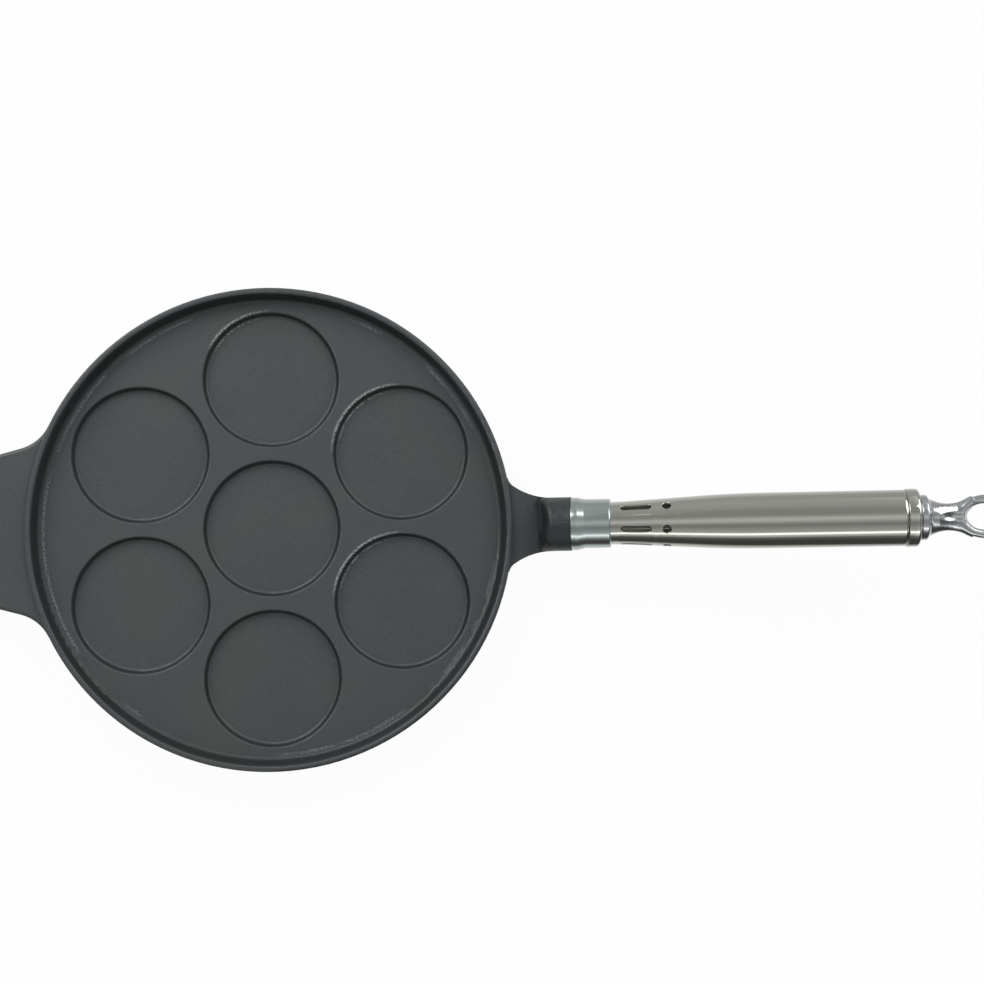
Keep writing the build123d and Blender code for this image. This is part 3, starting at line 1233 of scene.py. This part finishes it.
@dataclass
class TieRod:
    """The long rod, with rolled threads at its front end.

    Args:
        chamfer: Bevel of its ends.
        pitch: Pitch of the thread.
        thread_depth: Depth of the thread.
        thread_length: Length of the thread at the front.
        steps: Steps round the rod.
        rings_per_pitch: Rings of points in each turn of the thread.
        plain_rings: Rings of points on the plain part.
        bore_radius: Radius of the hair-thin bore in which the grid closes.
    """

    chamfer: float = 0.5 * MM
    pitch: float = 1.0 * MM
    thread_depth: float = 0.5 * MM
    thread_length: float = 26.0 * MM
    steps: int = 48
    rings_per_pitch: int = 8
    plain_rings: int = 40
    bore_radius: float = 0.01 * MM

    def build(self, axis: HandleAxis) -> bpy.types.Object:
        """Makes the rod as a grid of rings, over its outside and back through a hair-thin bore.

        The radius at angle t and place a is the rod's, less a rounded V of the thread's depth that
        repeats with a / pitch + t / turn, faded in and out at the thread's ends.

        Args:
            axis: The handle's frame.

        Returns:
            The piece.
        """
        start, end, radius = axis.measure("tie_rod")
        thread_end = start + self.thread_length
        threaded = np.arange(start + self.chamfer, thread_end, self.pitch / self.rings_per_pitch)
        plain = np.linspace(thread_end, end - self.chamfer, self.plain_rings)
        t = np.arange(self.steps) * TURN / self.steps
        a, tt = np.meshgrid(np.concatenate([threaded, plain]), t, indexing="ij")
        groove = 0.5 - 0.5 * np.cos(TURN * ((a - start) / self.pitch + tt / TURN))
        fade = np.clip((a - a[0, 0]) / self.pitch, 0, 1) * np.clip((thread_end - a) / self.pitch, 0, 1)
        r = radius - self.thread_depth * groove * fade
        ring = np.ones((1, self.steps))
        face = (radius - self.chamfer) * ring
        bore = self.bore_radius * ring
        a = np.concatenate([start * ring, start * ring, a, end * ring, end * ring])
        r = np.concatenate([bore, face, r, face, bore])
        points = round_points(a, r, np.broadcast_to(t, a.shape))
        return make_piece("threaded_tie_rod", axis.place(points), grid_faces(*a.shape, True))


@dataclass
class HangingLoop:
    """The die-cast hanger: foot, waisted neck and eye.

    Args:
        foot_thickness: Thickness of the foot.
        foot_edge: Rounding of the foot.
        neck_line: Place behind the foot, half width and half height of the neck, in millimetres.
        neck_span: Where the neck's bar starts and ends behind the foot.
        root_blend: Width of the fillet at the foot.
        eye: Distance of the eye's centre behind the foot.
        eye_half_length: Half length of the eye.
        eye_half_width: Half width of the eye.
        band: Width of the band round the eye.
        band_thickness: Thickness of the band.
        band_edge: Rounding of the band.
        band_blend: Width of the fillet at the band.
        bevel_start: Height from the middle at which the eye's bevel starts.
        bevel_slope: How far the bevel opens for each step in height.
        bevel_scale: Distance outside the bevel for each step along the band.
        bevel_edge: Rounding of the bevel's edge.
        scoop_place: Middle of the scoop behind the foot, and its height.
        scoop_size: Half sizes of the scoop along, across and upwards, in millimetres.
        scoop_scale: Distance outside the scoop for each unit of its ellipsoid.
        cut_gap: How far the neck stands back from the eye.
        cut_blend: Rounding of the neck's cuts.
        pocket_radius: Radius of the washer's pocket.
        pocket_depth: Depth of the washer's pocket.
        socket_radius: Radius of the rod's socket.
        socket_depth: Depth of the rod's socket, from the foot's face.
        margin: Room round the hanger in the grid.
    """

    foot_thickness: float = 3.8 * MM
    foot_edge: float = 1.0 * MM
    neck_line: tuple[tuple[float, float, float], ...] = (
        (-2.0, 9.6, 9.6), (0.0, 9.25, 9.2), (1.0, 8.7, 8.3), (2.0, 8.3, 7.5), (3.4, 7.75, 6.6),
        (5.0, 7.1, 5.7), (7.0, 6.6, 5.0), (9.2, 6.35, 4.5), (11.5, 6.45, 4.0), (13.5, 6.75, 3.6),
        (15.5, 7.3, 3.25), (17.5, 8.0, 3.0), (19.5, 8.8, 2.8), (22.0, 9.4, 2.7),
    )
    neck_span: Pair = (-1.0 * MM, 20.1 * MM)
    root_blend: float = 1.2 * MM
    eye: float = 26.87 * MM
    eye_half_length: float = 8.9 * MM
    eye_half_width: float = 6.05 * MM
    band: float = 4.15 * MM
    band_thickness: float = 5.6 * MM
    band_edge: float = 1.9 * MM
    band_blend: float = 1.8 * MM
    bevel_start: float = 0.9 * MM
    bevel_slope: float = 0.55
    bevel_scale: float = 0.87
    bevel_edge: float = 0.5 * MM
    scoop_place: Pair = (13.0 * MM, 6.2 * MM)
    scoop_size: tuple[float, float, float] = (6.5, 2.7, 3.0)
    scoop_scale: float = 2.6
    cut_gap: float = 0.2 * MM
    cut_blend: float = 0.8 * MM
    pocket_radius: float = 6.4 * MM
    pocket_depth: float = 1.3 * MM
    socket_radius: float = 3.02 * MM
    socket_depth: float = 9.3 * MM
    cells: tuple[float, float] = (0.5 * MM, 0.27 * MM)
    margin: float = 1.0 * MM

    def distance(self, p: Array, foot_start: float, foot_radius: float) -> Array:
        """Distance field of the hanger in the handle's frame.

        The foot is a rounded disc, the neck an oval bar whose half sizes change along it, and the band a
        rounded bar along an ellipse. They are joined with fillets, scooped above and below the neck's end,
        and cut by the eye's bevel, the washer's pocket and the rod's socket.

        Args:
            p: Points (n, 3).
            foot_start: Where the foot starts.
            foot_radius: Radius of the foot.

        Returns:
            Distances, negative inside.
        """
        a, w, h = p[:, 0] - foot_start, p[:, 1], p[:, 2]
        behind = a - self.foot_thickness
        r = np.hypot(w, h)
        half = self.foot_thickness / 2
        foot = rounded_box(a - half, r, half, foot_radius, self.foot_edge)

        places, widths, heights = np.array(self.neck_line).T * MM
        half_w, half_h = np.interp(behind, places, widths), np.interp(behind, places, heights)
        neck = (np.hypot(w / half_w, h / half_h) - 1) * np.minimum(half_w, half_h)
        neck = np.maximum(neck, np.maximum(self.neck_span[0] - behind, behind - self.neck_span[1]))

        ea = behind - self.eye
        mid_a = self.eye_half_length + self.band / 2
        mid_w = self.eye_half_width + self.band / 2
        reach = np.hypot(ea / mid_a, w / mid_w)
        slope = np.hypot(ea / mid_a**2, w / mid_w**2)
        across = (reach - 1) * reach / np.maximum(slope, TINY)
        band = rounded_box(across, h, self.band / 2, self.band_thickness / 2, self.band_edge)

        hole = across + self.band / 2
        solid = smooth_min(foot, neck, self.root_blend)
        solid = smooth_max(solid, -hole - self.cut_gap, self.cut_blend)
        solid = smooth_min(solid, band, self.band_blend)
        bevel = (hole - self.bevel_slope * (np.abs(h) - self.bevel_start)) * self.bevel_scale
        solid = smooth_max(solid, -bevel, self.bevel_edge)
        offset = (behind - self.scoop_place[0], w, np.abs(h) - self.scoop_place[1])
        scoop = np.sqrt(sum((o / size) ** 2 for o, size in zip(offset, self.scoop_size)))
        solid = smooth_max(solid, -(scoop - MM) * self.scoop_scale, self.cut_blend)
        pocket = np.maximum(r - self.pocket_radius, a - self.pocket_depth)
        socket = np.maximum(r - self.socket_radius, a - self.socket_depth)
        return np.maximum(np.maximum(solid, -pocket), -socket)

    def build(self, axis: HandleAxis) -> bpy.types.Object:
        """Meshes the hanger.

        Args:
            axis: The handle's frame.

        Returns:
            The piece.
        """
        start, end, radius = axis.measure("hanging_loop")
        side = radius + self.margin
        low = np.array([start - self.margin, -side, -side])
        high = np.array([end + self.margin, side, side])
        cell = self.cells[1]
        return surface_of("hanger_casting", lambda p: self.distance(p, start, radius), low, high, cell, axis)


@dataclass(frozen=True)
class Lamp:
    """One soft box.

    Args:
        name: Its name.
        side: Length of its sides in metres.
        place: Its place.
        power: Its power in watts.
    """

    name: str
    side: float
    place: tuple[float, float, float]
    power: float


@dataclass
class Studio:
    """Pale floor, soft lights and the camera over the pan.

    Args:
        focal_px: Focal length in pixels of the photo's frame.
        frame_px: Width of the photo's frame in pixels.
        sensor: Width of the sensor in millimetres.
        eye: Camera's place in metres.
        turns: Camera's turns about X, Y and Z in degrees, as of the world seen from the camera.
        lamps: The soft boxes.
        target: What they face.
        floor_half: Half of the floor's side.
        floor_colour: Colour of the floor.
        floor_roughness: Roughness of the floor.
        floor_glow: Share of plain white in the floor that the camera sees.
        front: Along Y, where the floor in the metal brightens, and its levels there.
        behind: Along Y, where it dims again, and by how much.
        room: Level of the room's light.
        cards: Angle from straight up, towards +Y, and level of each card that metal shows.
        ends: The direction's part along X, and share of the cards' level there.
    """

    focal_px: float = 1510.9
    frame_px: float = 984.0
    sensor: float = 36.0
    eye: tuple[float, float, float] = (0.05265, -0.02041, 0.73922)
    turns: tuple[float, float, float] = (-2.875, 4.167, 0.669)
    lamps: tuple[Lamp, ...] = (
        Lamp("key", 1.0, (-0.82, 0.94, 0.88), 13.0),
        Lamp("fill", 1.2, (1.10, 0.94, 0.88), 11.5),
    )
    target: tuple[float, float, float] = (0.0, 0.02, 0.0)
    floor_half: float = 3.0
    floor_colour: Colour = (0.9, 0.9, 0.9)
    floor_roughness: float = 0.9
    floor_glow: float = 0.965
    front: tuple[Pair, Pair] = ((-0.075, -0.035), (0.07, 0.80))
    behind: tuple[Pair, Pair] = ((0.02, 0.10), (0.0, 0.35))
    room: float = 0.30
    cards: tuple[Pair, ...] = (
        (-179, 0.30), (-92, 0.10), (-80, 0.14), (-72, 0.55), (-66, 0.70), (-63, 1.90), (-58, 1.90),
        (-53, 0.50), (-36, 0.38), (-23, 0.26), (-14, 0.36), (-5, 0.58), (3, 0.66), (10, 0.50), (20, 0.33),
        (40, 0.33), (54, 0.42), (75, 0.48), (179, 0.45),
    )
    ends: tuple[Pair, ...] = (
        (-1.0, 0.45), (-0.7, 0.7), (-0.4, 1.0), (0.1, 1.0), (0.22, 1.5), (0.34, 0.5), (0.5, 0.28),
        (0.68, 0.4), (0.85, 1.1), (1.0, 0.8),
    )

    def camera(self) -> None:
        """Places the camera as the photo was taken, with no shift."""
        data = bpy.data.cameras.new("camera")
        data.sensor_width = self.sensor
        data.lens = self.focal_px / self.frame_px * self.sensor
        camera = bpy.data.objects.new("camera", data)
        rx, ry, rz = (math.radians(v) for v in self.turns)
        seen = Matrix.Rotation(rz, 3, "Z") @ Matrix.Rotation(ry, 3, "Y") @ Matrix.Rotation(rx, 3, "X")
        camera.matrix_world = Matrix.Translation(self.eye) @ seen.transposed().to_4x4()
        bpy.context.scene.collection.objects.link(camera)
        bpy.context.scene.camera = camera

    def light(self) -> None:
        """Adds the soft boxes, out of the camera's sight."""
        for lamp in self.lamps:
            data = bpy.data.lights.new(lamp.name, "AREA")
            data.shape = "RECTANGLE"
            data.size = data.size_y = lamp.side
            data.energy = lamp.power
            box = bpy.data.objects.new(lamp.name, data)
            box.location = lamp.place
            aim = Vector(self.target) - Vector(lamp.place)
            box.rotation_euler = aim.to_track_quat("-Z", "Y").to_euler()
            box.visible_camera = False
            bpy.context.scene.collection.objects.link(box)

    def floor(self) -> None:
        """Lays the pale floor, which shows white to the camera and still takes the pan's shadow.

        In the metal it is palest under the handle, dark in front of it, as beside a dark card, and a little
        dimmer behind it.
        """
        half = self.floor_half
        corners = np.array([[-half, -half, 0], [half, -half, 0], [half, half, 0], [-half, half, 0]])
        piece = make_piece("floor", corners, np.array([[0, 1, 2, 3]]), False)
        material, n, shader, place = start_material("pale_floor")
        shader["Base Color"].default_value = (*self.floor_colour, 1.0)
        shader["Roughness"].default_value = self.floor_roughness
        shader["Specular IOR Level"].default_value = 0.0
        across = n.split(place)[1]
        mirrored = n.math("SUBTRACT", n.ramp(across, *self.front), n.ramp(across, *self.behind))
        path = n.add("ShaderNodeLightPath").outputs
        camera, glossy = path["Is Camera Ray"], path["Is Glossy Ray"]
        strength = n.math("ADD", camera, n.math("MULTIPLY", glossy, mirrored))
        glow = n.add("ShaderNodeEmission", Strength=strength)
        seen = n.math("ADD", n.math("MULTIPLY", camera, self.floor_glow), glossy)
        seen = n.math("MAXIMUM", seen, path["Is Transmission Ray"])
        plain = material.node_tree.nodes["Principled BSDF"].outputs[0]
        blend = n.add("ShaderNodeMixShader", i0=seen, i1=plain, i2=glow.outputs[0])
        n.feed(material.node_tree.nodes["Material Output"].inputs[0], blend.outputs[0])
        piece.data.materials.append(material)

    def world(self) -> None:
        """Fills the room with plain grey light, white to the camera, and with soft cards for the metal.

        What metal shows depends on the direction's angle from straight up, in the plane across the handle,
        and on how far it leans along X. The cards are the stops of a ramp over each.
        """
        world = bpy.data.worlds.new("room")
        world.use_nodes = True
        bpy.context.scene.world = world
        n = Nodes(world.node_tree)
        x, y, z = n.split(n.add("ShaderNodeTexCoord").outputs["Generated"])
        angle = n.math("DEGREES", n.math("ARCTAN2", y, z))
        across = n.stops(n.ramp(angle, (-180.0, 180.0)), [((a + 180) / 360, v) for a, v in self.cards])
        along = n.stops(n.ramp(x, (-1.0, 1.0)), [((e + 1) / 2, v) for e, v in self.ends])
        path = n.add("ShaderNodeLightPath").outputs
        room = n.mix(path["Is Glossy Ray"], (self.room,) * 3, n.math("MULTIPLY", across, along))
        seen = n.mix(path["Is Camera Ray"], room, (1.0, 1.0, 1.0))
        n.feed(world.node_tree.nodes["Background"].inputs[0], seen)

    def build(self) -> None:
        """Sets the whole studio up."""
        bpy.context.scene.view_settings.view_transform = "Standard"
        self.camera()
        self.floor()
        self.world()
        self.light()


def main() -> None:
    """Builds the studio, then the pan's pieces in order."""
    logging.basicConfig(level=logging.INFO, format="%(name)s %(message)s")
    axis = HandleAxis.from_frame()
    casting = PanCasting()
    rings = build_recess_rings(casting.recess_ring, casting.recess_distance, casting.recess_radius)
    effects = Effects(build_grain(), build_brushing(), rings)
    tilt = math.atan2(axis.along[2], axis.along[0])
    steel, collar, chrome, zinc, dull = (
        finish.build(effects, tilt) for finish in (STEEL, COLLAR, CHROME, ZINC, DULL)
    )
    Studio().build()
    casting.dress(effects)
    finish_piece(Ferrule().build(axis), [collar], Body.PAN, "ferrule")
    finish_piece(HandleTube().build(axis), [steel, dull], Body.PAN, "handle_tube")
    finish_piece(EndCap().build(axis), [steel], Body.PAN, "end_cap")
    finish_piece(TieRod().build(axis), [zinc], Body.HANGER, "tie_rod")
    finish_piece(HangingLoop().build(axis), [chrome], Body.HANGER, "hanging_loop")
    dress_node("spring_washer", zinc)


if __name__ == "__main__":
    main()
